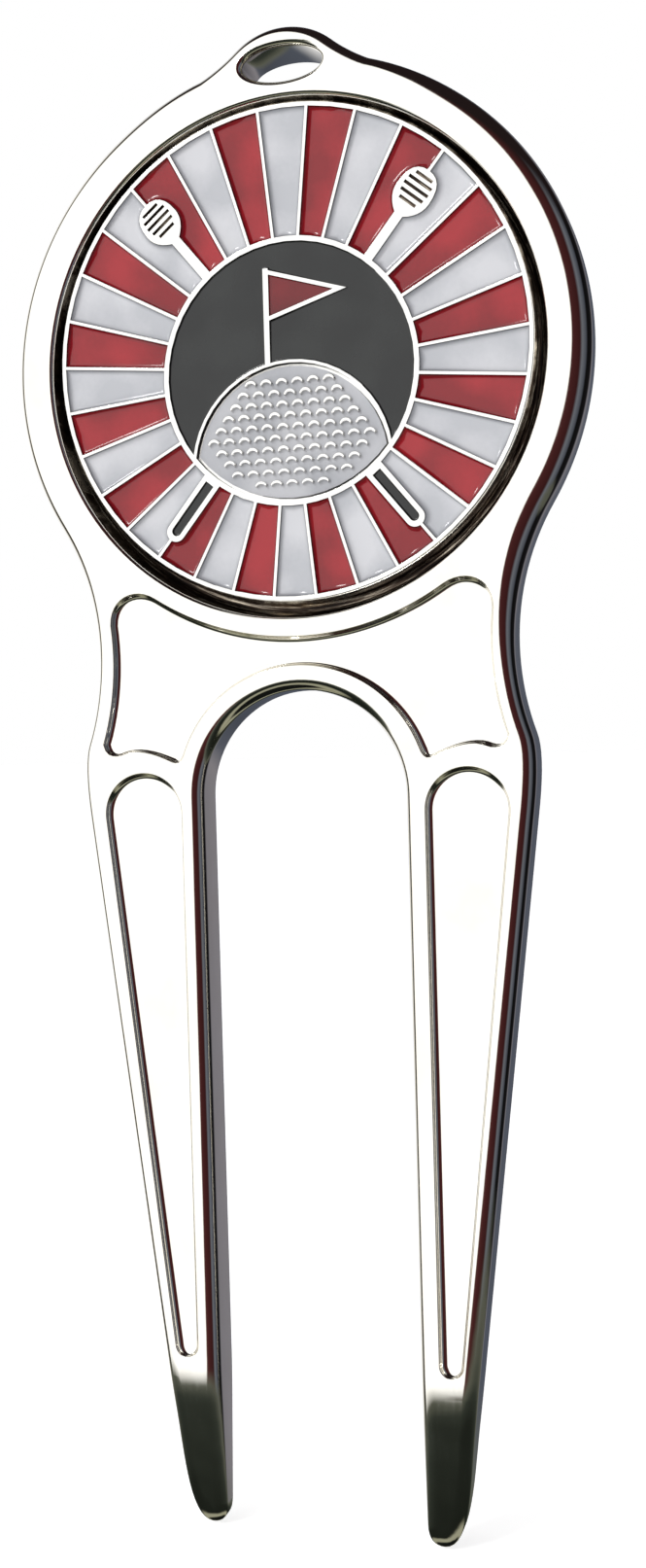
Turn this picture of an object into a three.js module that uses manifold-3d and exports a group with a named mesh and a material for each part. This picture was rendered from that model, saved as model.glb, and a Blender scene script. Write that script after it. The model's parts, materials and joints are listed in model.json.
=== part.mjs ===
// A two-pronged divot repair tool with a magnetic ball marker.
//
// Everything is drawn face-on, in millimetres: x to the right, y up towards the key-ring loop,
// z out of the front face, with the head's centre at (0, 0) and the front face at z = 0.
// The last lines turn the drawing upright (y becomes +Z, the front faces -Y) and bring the
// middle of the key-ring hole to the origin, because the tool hangs from it.
import * as THREE from "three";
import { mergeVertices } from "three/addons/utils/BufferGeometryUtils.js";
import Module from "manifold-3d";

const wasm = await Module();
wasm.setup();

// ---------------------------------------------------------------- driving dimensions

// The cast tool.
const THICKNESS = 2.7;
const EDGE_ROUND_WIDTH = 0.5;
const EDGE_ROUND_DEPTH = 0.45;
const HEAD_RADIUS = 15;
const PANEL_DEPTH = 0.35;

// The key-ring loop, a low lug on top of the head with a flattened hole.
const LUG_TOP = 16.45;
const LUG_ROUND = 3.9;
const LUG_ROUND_END_ANGLE = 50;
const LUG_FLANK = 1.1;
const LUG_FOOT_ANGLE = 73;
const LOOP_HOLE = { y: 14.55, halfLength: 2.1, halfHeight: 0.86 };

// The neck, which is drawn in by an arc that is tangent to the head.
const NECK_HALF_WIDTH = 10.92;
const NECK_RADIUS = 13.2;
const SHOULDER = { start: -19, end: -22.7, corner: [12.04, -20.02] };

// The prongs: straight outer edges that converge, and a parallel slot with a round end.
const PRONG_OUTER = { x: 10.84, y: -30, slope: 0.1205 };
const PRONG_TIP = { outer: -54, fullness: 2.6, heel: 0.45, inner: -58.8, bottom: -59.9, bottomX: 6.2 };
const SLOT_HALF_WIDTH = 5.35;
const SLOT_END = -21.9;
const TIP_TAPER = { from: -51.5, depth: 0.8 };

// The sunk panel under the head. The wave is where its lower edge meets the prongs.
const HEAD_PANEL = {
  topRadius: 13.9,
  topEndAngle: -57,
  archRadius: 6.6,
  archEndAngle: 16,
  inset: 1,
  sideTop: -12.9,
  sideBottom: -19.05,
  corner: [1.1, 0.7, 1.4],
  wave: [
    [10.1, -19.68],
    [8.66, -19.45],
    [6.75, -20],
  ],
};

// The long sunk panel on each prong, as [x, y, radius] of its two round ends.
const PRONG_PANEL = { top: [8.5, -22.7, 2.1], bottom: [7, -50.3, 0.6] };

// The marker's recess, and the pocket in its floor for the magnet.
const RECESS_RADIUS = 12.9;
const RECESS_MOUTH = 0.2;
const RECESS_DEPTH = 1.3;
const MAGNET_RADIUS = 5;
const MAGNET_LENGTH = 1;
const MAGNET_CLEARANCE = 0.05;

// The ball marker: a struck disc that lies loose in the recess, up against its top left.
const MARKER_RADIUS = 12.5;
const MARKER_LENGTH = 1;
const MARKER_EDGE = 0.15;
const MARKER_SHIFT = [-0.1, 0.3];
const CELL_DEPTH = 0.4;
const ENAMEL_LENGTH = 0.25;
const ENAMEL_CLEARANCE = 0.02;
const LINE_WIDTH = 0.15;

// The marker's design: a sunburst round a roundel that holds a flag on a golf ball.
const CELL_OUTER_RADIUS = 12.15;
const ROUNDEL_Y = -0.9;
const ROUNDEL_RADIUS = 6.45;
const RAY_INNER_RADIUS = 6.7;
const RAY_COUNT = 32;
const RAY_ANGLE = (2 * Math.PI) / RAY_COUNT;
const BALL = { y: -4.7, radius: 5.2 };
const FLAGSTICK = { x: -1.1, bottom: 0, top: 5.2, width: 0.28 };
const PENNANT = { top: 5.1, tipX: 3.1, tipY: 3.85, bottom: 2.6, border: 0.2 };

// The crossed clubs, measured out along the line they lie on from the roundel's centre.
const CLUB_ANGLE = RAY_ANGLE * 4.5;
const CLUB_START = RAY_INNER_RADIUS - 1;
const CLUB_SHAFT_WIDTH = 0.5;
const BLADE = { neck: 9.2, heel: 9.7, sole: 10.4, toe: 11.7, halfWidth: 1 };
const GRIP = { end: 10.4, width: 1, enamelWidth: 0.5, enamelStart: 6.9, enamelEnd: 10.1 };

// ---------------------------------------------------------------- materials

const metal = (color, roughness) =>
  new THREE.MeshStandardMaterial({ color, metalness: 1, roughness });
const enamel = (color) =>
  new THREE.MeshStandardMaterial({ color, metalness: 0, roughness: 0.25 });

const PLATED_ZINC = metal("#d9d9d6", 0.12);
const PLATED_IRON = metal("#dededc", 0.15);
const PLATED_MAGNET = metal("#b9bbbd", 0.3);
const RED_ENAMEL = enamel("#a92a35");
const GREY_ENAMEL = enamel("#c6c9d1");
const BLACK_ENAMEL = enamel("#363937");

// ---------------------------------------------------------------- solids

// A closed three.js geometry as a manifold solid; triangles that close up on an axis are dropped.
function solid(geometry) {
  const bare = geometry.clone();
  bare.deleteAttribute("normal");
  bare.deleteAttribute("uv");
  const merged = mergeVertices(bare, 1e-4);
  const corners = merged.index.array;
  const kept = [];
  for (let i = 0; i < corners.length; i += 3) {
    const [a, b, c] = corners.slice(i, i + 3);
    if (a !== b && b !== c && c !== a) kept.push(a, b, c);
  }
  return new wasm.Manifold(
    new wasm.Mesh({
      numProp: 3,
      vertProperties: merged.attributes.position.array,
      triVerts: new Uint32Array(kept),
    }),
  );
}

// A manifold solid back as a named three.js mesh.
function piece(name, body, material) {
  const { vertProperties, triVerts } = body.getMesh();
  const geometry = new THREE.BufferGeometry();
  geometry.setAttribute("position", new THREE.BufferAttribute(vertProperties, 3));
  geometry.setIndex(new THREE.BufferAttribute(triVerts, 1));
  geometry.computeVertexNormals();
  const mesh = new THREE.Mesh(geometry, material);
  mesh.name = name;
  return mesh;
}

// A flat outline as a prism from one height to another, with an optional rounded edge.
function prism(shape, from, to, { curveSegments = 12, edge = null } = {}) {
  const geometry = new THREE.ExtrudeGeometry(shape, {
    depth: to - from - (edge ? 2 * edge.depth : 0),
    curveSegments,
    bevelEnabled: edge !== null,
    bevelThickness: edge ? edge.depth : 0,
    bevelSize: edge ? edge.width : 0,
    bevelOffset: edge ? -edge.width : 0,
    bevelSegments: 2,
  });
  geometry.translate(0, 0, from + (edge ? edge.depth : 0));
  return solid(geometry);
}

// A profile of [radius, z] points, from the axis back to the axis, turned about the z axis.
function turned(profile, segments) {
  const points = profile.map(([radius, z]) => new THREE.Vector2(radius, z));
  const geometry = new THREE.LatheGeometry(points, segments);
  geometry.rotateX(Math.PI / 2);
  return solid(geometry);
}

const degrees = (angle) => (angle * Math.PI) / 180;
const onCircle = (radius, angle) => [radius * Math.cos(angle), radius * Math.sin(angle)];

// ---------------------------------------------------------------- the cast tool

// The centre of the arc that draws the neck in. It touches the head's circle.
function neckCentre() {
  const x = NECK_HALF_WIDTH + NECK_RADIUS;
  return [x, -Math.sqrt((HEAD_RADIUS + NECK_RADIUS) ** 2 - x ** 2)];
}

const prongOuterX = (y) => PRONG_OUTER.x + PRONG_OUTER.slope * (y - PRONG_OUTER.y);

// The right half of the outline, from the top of the lug round to the top of the slot.
function rightHalf() {
  const half = new THREE.Path();
  const lugEnd = degrees(LUG_ROUND_END_ANGLE);
  half.absarc(0, LUG_TOP - LUG_ROUND, LUG_ROUND, Math.PI / 2, lugEnd, true);
  const [lugX, lugY] = onCircle(LUG_ROUND, lugEnd);
  const foot = degrees(LUG_FOOT_ANGLE);
  half.quadraticCurveTo(
    lugX + LUG_FLANK * Math.sin(lugEnd),
    LUG_TOP - LUG_ROUND + lugY - LUG_FLANK * Math.cos(lugEnd),
    ...onCircle(HEAD_RADIUS, foot),
  );

  const [neckX, neckY] = neckCentre();
  const touch = Math.atan2(neckY, neckX);
  half.absarc(0, 0, HEAD_RADIUS, foot, touch, true);
  const neckEnd = -Math.PI + Math.asin((neckY - SHOULDER.start) / NECK_RADIUS);
  half.absarc(neckX, neckY, NECK_RADIUS, touch + Math.PI, neckEnd + 2 * Math.PI, false);

  half.quadraticCurveTo(...SHOULDER.corner, prongOuterX(SHOULDER.end), SHOULDER.end);
  const tipX = prongOuterX(PRONG_TIP.outer);
  half.lineTo(tipX, PRONG_TIP.outer);
  half.bezierCurveTo(
    tipX - PRONG_TIP.fullness * PRONG_OUTER.slope,
    PRONG_TIP.outer - PRONG_TIP.fullness,
    tipX - PRONG_TIP.heel,
    PRONG_TIP.bottom,
    PRONG_TIP.bottomX,
    PRONG_TIP.bottom,
  );
  half.quadraticCurveTo(SLOT_HALF_WIDTH, PRONG_TIP.bottom, SLOT_HALF_WIDTH, PRONG_TIP.inner);
  half.lineTo(SLOT_HALF_WIDTH, SLOT_END);
  half.absarc(0, SLOT_END, SLOT_HALF_WIDTH, 0, Math.PI / 2, false);
  return half;
}

// A right half and its mirror image, joined into one closed outline.
function mirrored(half, divisions) {
  const right = half.getPoints(divisions);
  const left = right
    .slice(1, -1)
    .reverse()
    .map((point) => new THREE.Vector2(-point.x, point.y));
  return new THREE.Shape([...right, ...left]);
}

// The sunk panel under the head. It follows the head above, the neck beside it and the slot's
// arch below, and has a shallow wave where it meets the prongs.
function headPanelHalf() {
  const half = new THREE.Path();
  const topEnd = degrees(HEAD_PANEL.topEndAngle);
  half.absarc(0, 0, HEAD_PANEL.topRadius, -Math.PI / 2, topEnd, false);

  const [neckX, neckY] = neckCentre();
  const sideRadius = NECK_RADIUS + HEAD_PANEL.inset;
  const sideAngle = (y) => Math.PI + Math.asin((neckY - y) / sideRadius);
  const sideTop = sideAngle(HEAD_PANEL.sideTop);
  const sideX = neckX + sideRadius * Math.cos(sideTop);
  const [endX, endY] = onCircle(HEAD_PANEL.topRadius, topEnd);
  const [cornerX, cornerY, sideRise] = HEAD_PANEL.corner;
  half.bezierCurveTo(
    endX + cornerX,
    endY + cornerY,
    sideX,
    HEAD_PANEL.sideTop + sideRise,
    sideX,
    HEAD_PANEL.sideTop,
  );
  half.absarc(neckX, neckY, sideRadius, sideTop, sideAngle(HEAD_PANEL.sideBottom), false);

  half.splineThru(HEAD_PANEL.wave.map(([x, y]) => new THREE.Vector2(x, y)));
  const archEnd = degrees(HEAD_PANEL.archEndAngle);
  half.absarc(0, SLOT_END, HEAD_PANEL.archRadius, archEnd, Math.PI / 2, false);
  return half;
}

// The long panel on a prong: two circles and the straight lines that touch both.
// side is 1 for the right prong and -1 for the left.
function prongPanel(side) {
  const [topX, topY, topR] = PRONG_PANEL.top;
  const [bottomX, bottomY, bottomR] = PRONG_PANEL.bottom;
  const span = Math.hypot(topX - bottomX, topY - bottomY);
  const lean = Math.atan2(topX - bottomX, topY - bottomY);
  const taper = Math.asin((topR - bottomR) / span);
  const outline = new THREE.Path();
  outline.absarc(topX, topY, topR, -lean - taper, Math.PI - lean + taper, false);
  outline.absarc(bottomX, bottomY, bottomR, Math.PI - lean + taper, 2 * Math.PI - lean - taper, false);
  const points = outline.getPoints(8);
  return new THREE.Shape(points.map((point) => new THREE.Vector2(side * point.x, point.y)));
}

// A wedge across both prongs, which thins their ends from the front (side 1) or the back (-1).
function tipWedge(side) {
  const face = side > 0 ? 0 : -THICKNESS;
  const reach = 2;
  const beyond = PRONG_TIP.bottom - reach;
  const slope = TIP_TAPER.depth / (TIP_TAPER.from - PRONG_TIP.bottom);
  const cut = slope * (TIP_TAPER.from - beyond);
  const section = new THREE.Shape([
    new THREE.Vector2(-face, TIP_TAPER.from),
    new THREE.Vector2(-face + side * cut, beyond),
    new THREE.Vector2(-face - side * reach, beyond),
    new THREE.Vector2(-face - side * reach, TIP_TAPER.from),
  ]);
  const width = 2 * HEAD_RADIUS;
  const geometry = new THREE.ExtrudeGeometry(section, { depth: width, bevelEnabled: false });
  geometry.rotateY(Math.PI / 2);
  geometry.translate(-width / 2, 0, 0);
  return solid(geometry);
}

// The recess with its chamfered mouth, and the magnet's pocket below its floor.
function recess() {
  const mouth = RECESS_RADIUS + RECESS_MOUTH;
  const above = 1;
  const pocketRadius = MAGNET_RADIUS + MAGNET_CLEARANCE;
  const pocketFloor = -RECESS_DEPTH - MAGNET_LENGTH;
  return turned(
    [
      [0, pocketFloor],
      [pocketRadius, pocketFloor],
      [pocketRadius, -RECESS_DEPTH],
      [RECESS_RADIUS, -RECESS_DEPTH],
      [RECESS_RADIUS, -RECESS_MOUTH],
      [mouth, 0],
      [mouth, above],
      [0, above],
    ],
    96,
  );
}

function toolBody() {
  const edge = { width: EDGE_ROUND_WIDTH, depth: EDGE_ROUND_DEPTH };
  const above = 1;
  const hole = new THREE.Shape();
  hole.absellipse(0, LOOP_HOLE.y, LOOP_HOLE.halfLength, LOOP_HOLE.halfHeight, 0, 2 * Math.PI);
  const cuts = [
    recess(),
    prism(mirrored(headPanelHalf(), 8), -PANEL_DEPTH, above),
    prism(prongPanel(1), -PANEL_DEPTH, above),
    prism(prongPanel(-1), -PANEL_DEPTH, above),
    prism(hole, -THICKNESS - above, above),
    tipWedge(1),
    tipWedge(-1),
  ];
  const blank = prism(mirrored(rightHalf(), 10), -THICKNESS, 0, { edge });
  return cuts.reduce((body, cut) => body.subtract(cut), blank);
}

function magnet() {
  const back = -RECESS_DEPTH - MAGNET_LENGTH;
  const front = -RECESS_DEPTH;
  return turned(
    [
      [0, back],
      [MAGNET_RADIUS, back],
      [MAGNET_RADIUS, front],
      [0, front],
    ],
    64,
  );
}

// ---------------------------------------------------------------- the marker's design

// How far a line from a point in a direction runs before it meets a circle about the origin.
function reachOfCircle([x, y], [dx, dy], radius) {
  const along = x * dx + y * dy;
  return -along + Math.sqrt(along ** 2 - x ** 2 - y ** 2 + radius ** 2);
}

// The cell between two of the sunburst's lines, drawn in by inset on all sides.
function rayShape(index, inset) {
  const inner = RAY_INNER_RADIUS + inset;
  const outer = CELL_OUTER_RADIUS - inset;
  const aside = LINE_WIDTH / 2 + inset;
  const corners = [-0.5, 0.5].map((half) => {
    const angle = (index + half) * RAY_ANGLE;
    const [dx, dy] = onCircle(1, angle);
    const side = -Math.sign(half) * aside;
    const start = [-dy * side, ROUNDEL_Y + dx * side];
    const far = reachOfCircle(start, [dx, dy], outer);
    const near = Math.sqrt(inner ** 2 - aside ** 2);
    return {
      near: [start[0] + near * dx, start[1] + near * dy],
      far: [start[0] + far * dx, start[1] + far * dy],
    };
  });
  const angleOf = ([x, y], centreY) => Math.atan2(y - centreY, x);
  const [right, left] = corners;
  const shape = new THREE.Shape();
  shape.absarc(0, 0, outer, angleOf(right.far, 0), angleOf(left.far, 0), false);
  const [from, to] = [left, right].map(({ near }) => angleOf(near, ROUNDEL_Y));
  shape.absarc(0, ROUNDEL_Y, inner, from, to, true);
  return shape;
}

// A shape drawn with v across and u along a line from the roundel's centre, laid at an angle.
function alongRay(draw, angle) {
  const points = draw.getPoints(6).map(({ x: v, y: u }) => {
    const [du, dv] = onCircle(1, angle);
    return new THREE.Vector2(u * du - v * dv, ROUNDEL_Y + u * dv + v * du);
  });
  return new THREE.Shape(points);
}

// A golf club's shaft and blade. side mirrors the blade.
function clubHead(side, grow) {
  const shaft = CLUB_SHAFT_WIDTH / 2 + grow;
  const width = BLADE.halfWidth + grow;
  const neck = BLADE.neck - grow;
  const toe = BLADE.toe + grow;
  const blade = new THREE.Path();
  blade.moveTo(-side * shaft, CLUB_START);
  blade.lineTo(side * shaft, CLUB_START);
  blade.lineTo(side * shaft, neck);
  blade.quadraticCurveTo(side * width, BLADE.heel - grow, side * width, BLADE.sole);
  blade.quadraticCurveTo(side * width, toe, 0, toe);
  blade.quadraticCurveTo(-side * width, toe, -side * width, BLADE.sole);
  blade.quadraticCurveTo(-side * width, BLADE.heel, -side * shaft, neck);
  return blade;
}

// A bar with a round end, from one distance to another along its line.
function bar(from, to, width) {
  const path = new THREE.Path();
  const half = width / 2;
  path.moveTo(-half, from);
  path.lineTo(half, from);
  path.lineTo(half, to - half);
  path.absarc(0, to - half, half, 0, Math.PI, false);
  return path;
}

// What stands up through the sunburst: two crossed clubs behind the roundel, widened by grow.
function crossedClubs(from, to, grow) {
  const shapes = [1, -1].flatMap((side) => {
    const angle = side > 0 ? CLUB_ANGLE : Math.PI - CLUB_ANGLE;
    const grip = bar(CLUB_START, GRIP.end + grow, GRIP.width + 2 * grow);
    return [alongRay(clubHead(side, grow), angle), alongRay(grip, angle + Math.PI)];
  });
  return shapes.map((shape) => prism(shape, from, to)).reduce((all, next) => all.add(next));
}

function circle(y, radius) {
  const shape = new THREE.Shape();
  shape.absarc(0, y, radius, 0, 2 * Math.PI, false);
  return shape;
}

// The flagstick and the pennant's border, widened by grow.
function flagShape(grow) {
  const left = FLAGSTICK.x - FLAGSTICK.width / 2 - grow;
  const right = FLAGSTICK.x + FLAGSTICK.width / 2 + grow;
  return new THREE.Shape(
    [
      [left, FLAGSTICK.bottom],
      [right, FLAGSTICK.bottom],
      [right, PENNANT.bottom - grow],
      [PENNANT.tipX + 2 * grow, PENNANT.tipY],
      [right, PENNANT.top + grow],
      [right, FLAGSTICK.top + grow],
      [left, FLAGSTICK.top + grow],
    ].map(([x, y]) => new THREE.Vector2(x, y + ROUNDEL_Y)),
  );
}

// The pennant's own cell, inside its border. Its corners are drawn in along both edges.
function pennantShape(inset) {
  const border = PENNANT.border + inset;
  const left = FLAGSTICK.x + FLAGSTICK.width / 2 + inset;
  const length = PENNANT.tipX - left;
  const rise = (PENNANT.top - PENNANT.bottom) / 2;
  const slant = Math.hypot(length, rise);
  const offEdge = (border * slant) / length;
  const offTip = (border * slant) / rise;
  return new THREE.Shape(
    [
      [left, PENNANT.bottom + offEdge],
      [PENNANT.tipX - offTip, PENNANT.tipY],
      [left, PENNANT.top - offEdge],
    ].map(([x, y]) => new THREE.Vector2(x, y + ROUNDEL_Y)),
  );
}

// Every cell of the design as a solid between two heights, drawn in by inset.
function cells(from, to, inset) {
  const clubs = crossedClubs(from - 1, to + 1, inset);
  const rays = Array.from({ length: RAY_COUNT }, (_, index) => {
    const colour = index % 2 ? "red" : "grey";
    const number = String(Math.floor(index / 2) + 1).padStart(2, "0");
    return {
      name: `enamel_ray_${colour}_${number}`,
      material: index % 2 ? RED_ENAMEL : GREY_ENAMEL,
      body: prism(rayShape(index, inset), from, to, { curveSegments: 1 }).subtract(clubs),
    };
  });

  const roundel = prism(circle(ROUNDEL_Y, ROUNDEL_RADIUS - inset), from, to, { curveSegments: 24 });
  const half = LINE_WIDTH / 2 + inset;
  const ballY = ROUNDEL_Y + BALL.y;
  const ballSky = prism(circle(ballY, BALL.radius + half), from - 1, to + 1, { curveSegments: 24 });
  const ballCell = prism(circle(ballY, BALL.radius - half), from - 1, to + 1, { curveSegments: 24 });
  const flag = prism(flagShape(inset), from - 1, to + 1);
  const grips = [CLUB_ANGLE, Math.PI - CLUB_ANGLE].map((angle, index) => {
    const strip = bar(GRIP.enamelStart + inset, GRIP.enamelEnd - inset, GRIP.enamelWidth - 2 * inset);
    return {
      name: index ? "enamel_grip_right" : "enamel_grip_left",
      material: BLACK_ENAMEL,
      body: prism(alongRay(strip, angle + Math.PI), from, to, { curveSegments: 4 }),
    };
  });
  return [
    ...rays,
    ...grips,
    { name: "enamel_sky", material: BLACK_ENAMEL, body: roundel.subtract(ballSky).subtract(flag) },
    { name: "enamel_ball", material: GREY_ENAMEL, body: roundel.intersect(ballCell) },
    { name: "enamel_pennant", material: RED_ENAMEL, body: prism(pennantShape(inset), from, to) },
  ];
}

// ---------------------------------------------------------------- the ball marker

const MARKER_FACE = MARKER_LENGTH - RECESS_DEPTH;

// The struck disc, with its cells sunk between raised lines.
function markerDisc() {
  const back = MARKER_FACE - MARKER_LENGTH;
  const blank = turned(
    [
      [0, back],
      [MARKER_RADIUS - MARKER_EDGE, back],
      [MARKER_RADIUS, back + MARKER_EDGE],
      [MARKER_RADIUS, MARKER_FACE - MARKER_EDGE],
      [MARKER_RADIUS - MARKER_EDGE, MARKER_FACE],
      [0, MARKER_FACE],
    ],
    96,
  );
  const sunk = cells(MARKER_FACE - CELL_DEPTH, MARKER_FACE + 1, 0);
  return sunk.reduce((disc, cell) => disc.subtract(cell.body), blank);
}

function marker() {
  const group = new THREE.Group();
  group.add(piece("marker_disc", markerDisc(), PLATED_IRON));
  const floor = MARKER_FACE - CELL_DEPTH + ENAMEL_CLEARANCE;
  for (const { name, body, material } of cells(floor, floor + ENAMEL_LENGTH, ENAMEL_CLEARANCE)) {
    group.add(piece(name, body, material.clone()));
  }
  group.position.set(...MARKER_SHIFT, 0);
  return group;
}

// ---------------------------------------------------------------- the assembly

const drawing = new THREE.Group();
drawing.add(piece("tool_body", toolBody(), PLATED_ZINC));
drawing.add(piece("magnet", magnet(), PLATED_MAGNET));
drawing.add(marker());
drawing.position.set(0, -THICKNESS / 2, -LOOP_HOLE.y);
drawing.rotation.x = Math.PI / 2;

const tool = new THREE.Group();
tool.add(drawing);

export default tool;
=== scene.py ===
# %% [markdown]
# # A divot repair tool with a magnetic ball marker
# The tool is one flat zinc casting, plated and polished like a mirror. A round recess in its head
# takes a struck and enamelled ball marker, which a small magnet holds in place. The CAD frame
# already has every piece in its place, so this file gives each one its fine shape and its finish.

import json
import math

import bpy
from mathutils import Matrix, Vector

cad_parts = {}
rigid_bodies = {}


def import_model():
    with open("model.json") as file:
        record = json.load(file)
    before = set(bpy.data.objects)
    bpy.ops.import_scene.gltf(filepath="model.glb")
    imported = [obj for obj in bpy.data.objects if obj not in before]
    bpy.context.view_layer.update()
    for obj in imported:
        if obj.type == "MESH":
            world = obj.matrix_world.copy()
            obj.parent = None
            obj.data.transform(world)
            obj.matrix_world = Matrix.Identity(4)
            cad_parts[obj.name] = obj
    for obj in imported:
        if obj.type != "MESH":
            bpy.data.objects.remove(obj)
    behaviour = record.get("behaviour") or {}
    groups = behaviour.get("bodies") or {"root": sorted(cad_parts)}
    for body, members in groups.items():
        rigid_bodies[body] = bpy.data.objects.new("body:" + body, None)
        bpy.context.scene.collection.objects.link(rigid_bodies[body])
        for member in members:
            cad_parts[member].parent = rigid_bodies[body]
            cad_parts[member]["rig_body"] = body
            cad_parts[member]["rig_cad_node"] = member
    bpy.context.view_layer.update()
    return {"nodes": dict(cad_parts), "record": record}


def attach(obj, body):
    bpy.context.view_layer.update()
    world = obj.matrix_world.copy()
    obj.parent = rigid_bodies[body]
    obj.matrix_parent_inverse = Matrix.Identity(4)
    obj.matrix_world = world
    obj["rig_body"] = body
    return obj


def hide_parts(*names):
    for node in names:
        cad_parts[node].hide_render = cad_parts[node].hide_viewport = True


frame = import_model()

# %% [markdown]
# ## Working flat
# Each new piece is drawn lying on its back, in millimetres: x to the right, y up towards the loop
# and z out of the front face, which is at z = 0. Its object is then stood upright, and that turn is
# applied, so that the finished mesh is in metres, in its own place, with its object at the origin.

# %% The drawing's place in the frame
THICKNESS = 2.7
LOOP_HOLE_Y = 14.55
MM = 0.001
UPRIGHT = (
    Matrix.Translation((0, -THICKNESS / 2 * MM, -LOOP_HOLE_Y * MM))
    @ Matrix.Rotation(math.radians(90), 4, "X")
    @ Matrix.Scale(MM, 4)
)


def deselect_all():
    if bpy.context.object and bpy.context.object.mode != "OBJECT":
        bpy.ops.object.mode_set(mode="OBJECT")
    bpy.ops.object.select_all(action="DESELECT")


def make_active(piece):
    deselect_all()
    piece.select_set(True)
    bpy.context.view_layer.objects.active = piece


def stand_upright(piece):
    make_active(piece)
    piece.matrix_world = UPRIGHT
    bpy.ops.object.transform_apply(location=True, rotation=True, scale=True)


def apply_modifier(piece, kind, **settings):
    make_active(piece)
    modifier = piece.modifiers.new(kind.title(), kind)
    for name, value in settings.items():
        setattr(modifier, name, value)
    bpy.ops.object.modifier_apply(modifier=modifier.name)


# %% [markdown]
# ## Outlines
# A maker draws such a tool with a compass and a French curve: arcs that touch each other, joined by
# soft curves. These helpers return the corners of such lines. The right half is drawn once and
# mirrored, so both prongs are alike.

# %% Arcs and soft curves
def arc(centre, radius, start, end, steps):
    """Corners on an arc, with its angles in degrees."""
    angles = [math.radians(start + (end - start) * i / steps) for i in range(steps + 1)]
    return [(centre[0] + radius * math.cos(a), centre[1] + radius * math.sin(a)) for a in angles]


def soft_curve(handles, steps):
    """Corners on a Bezier curve with three or four handles, without its first one."""
    points = []
    for i in range(1, steps + 1):
        row = [Vector(h) for h in handles]
        while len(row) > 1:
            row = [a.lerp(b, i / steps) for a, b in zip(row, row[1:])]
        points.append(tuple(row[0]))
    return points


def mirrored(half):
    """A right half, from the top of the centre line to its foot, and its mirror image."""
    return half + [(-x, y) for x, y in reversed(half[1:-1])]


# %% The casting's outline
HEAD_RADIUS = 15
LUG_TOP, LUG_ROUND = 16.45, 3.9
NECK_HALF_WIDTH, NECK_RADIUS = 10.92, 13.2
SLOT_HALF_WIDTH, SLOT_END = 5.35, -21.9
PRONG_SLOPE, PRONG_OUTER, PRONG_LEVEL = 0.1205, 10.84, -30
TIP_START, TIP_END = -54, -59.9
NECK_X = NECK_HALF_WIDTH + NECK_RADIUS
NECK_Y = -math.sqrt((HEAD_RADIUS + NECK_RADIUS) ** 2 - NECK_X**2)
SHOULDER_START, SHOULDER_END = -19, -22.7
LUG_ROUND_END, LUG_FLANK, HEAD_START = 50, 1.1, 73
TIP_INNER_X, TIP_INNER_Y = 6.2, -58.8


def prong_outer(y):
    """How far the prong's outer edge is from the middle at a height."""
    return PRONG_OUTER + PRONG_SLOPE * (y - PRONG_LEVEL)


def neck_angle(y, radius):
    """The angle at which the neck's circle is at a height, in degrees."""
    return 180 + math.degrees(math.asin((NECK_Y - y) / radius))


lug = arc((0, LUG_TOP - LUG_ROUND), LUG_ROUND, 90, LUG_ROUND_END, 12)
foot_angle, flank_angle = math.radians(HEAD_START), math.radians(LUG_ROUND_END)
foot = (HEAD_RADIUS * math.cos(foot_angle), HEAD_RADIUS * math.sin(foot_angle))
flank = (lug[-1][0] + LUG_FLANK * math.sin(flank_angle), lug[-1][1] - LUG_FLANK * math.cos(flank_angle))
touch = math.degrees(math.atan2(NECK_Y, NECK_X))
shoulder = (prong_outer(SHOULDER_END), SHOULDER_END)
tip = (prong_outer(TIP_START), TIP_START)
half = lug + soft_curve([lug[-1], flank, foot], 8)
half += arc((0, 0), HEAD_RADIUS, HEAD_START, touch, 64)[1:]
neck = arc((NECK_X, NECK_Y), NECK_RADIUS, touch + 180, neck_angle(SHOULDER_START, NECK_RADIUS), 24)
half += neck[1:] + soft_curve([neck[-1], (12.04, -20.02), shoulder], 8)
half += [(prong_outer(y), y) for y in range(-25, TIP_START, -3)] + [tip]
tip_end = (TIP_INNER_X, TIP_END)
half += soft_curve([tip, (tip[0] - 0.31, TIP_START - 2.6), (tip[0] - 0.45, TIP_END), tip_end], 14)
half += soft_curve([tip_end, (SLOT_HALF_WIDTH, TIP_END), (SLOT_HALF_WIDTH, TIP_INNER_Y)], 8)
half += [(SLOT_HALF_WIDTH, y) for y in range(-56, -22, 3)]
half += arc((0, SLOT_END), SLOT_HALF_WIDTH, 0, 90, 24)
CASTING_OUTLINE = mirrored(half)
print("casting outline:", len(CASTING_OUTLINE), "corners")

# %% [markdown]
# ## Lofting from section to section
# The casting, and every cutter that hollows it, is an outline whose size changes with its height:
# a rounded rim, a fillet or a flared mouth. So each starts as a filled circle with one corner for
# each corner of the outline. It is extruded once for each section, and the new ring's corners are
# put where that section has them. A bevel can't do this, because the rim's width varies.

# %% The loft
def outward(points):
    """The unit direction out of a closed outline at each corner."""
    area = sum(a[0] * b[1] - b[0] * a[1] for a, b in zip(points, points[1:] + points[:1]))
    turn = 1 if area > 0 else -1
    edges = [(Vector(b) - Vector(a)).normalized() for a, b in zip(points, points[1:] + points[:1])]
    tangents = [(a + b).normalized() for a, b in zip(edges[-1:] + edges[:-1], edges)]
    return [Vector((turn * t.y, -turn * t.x)) for t in tangents]


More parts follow.
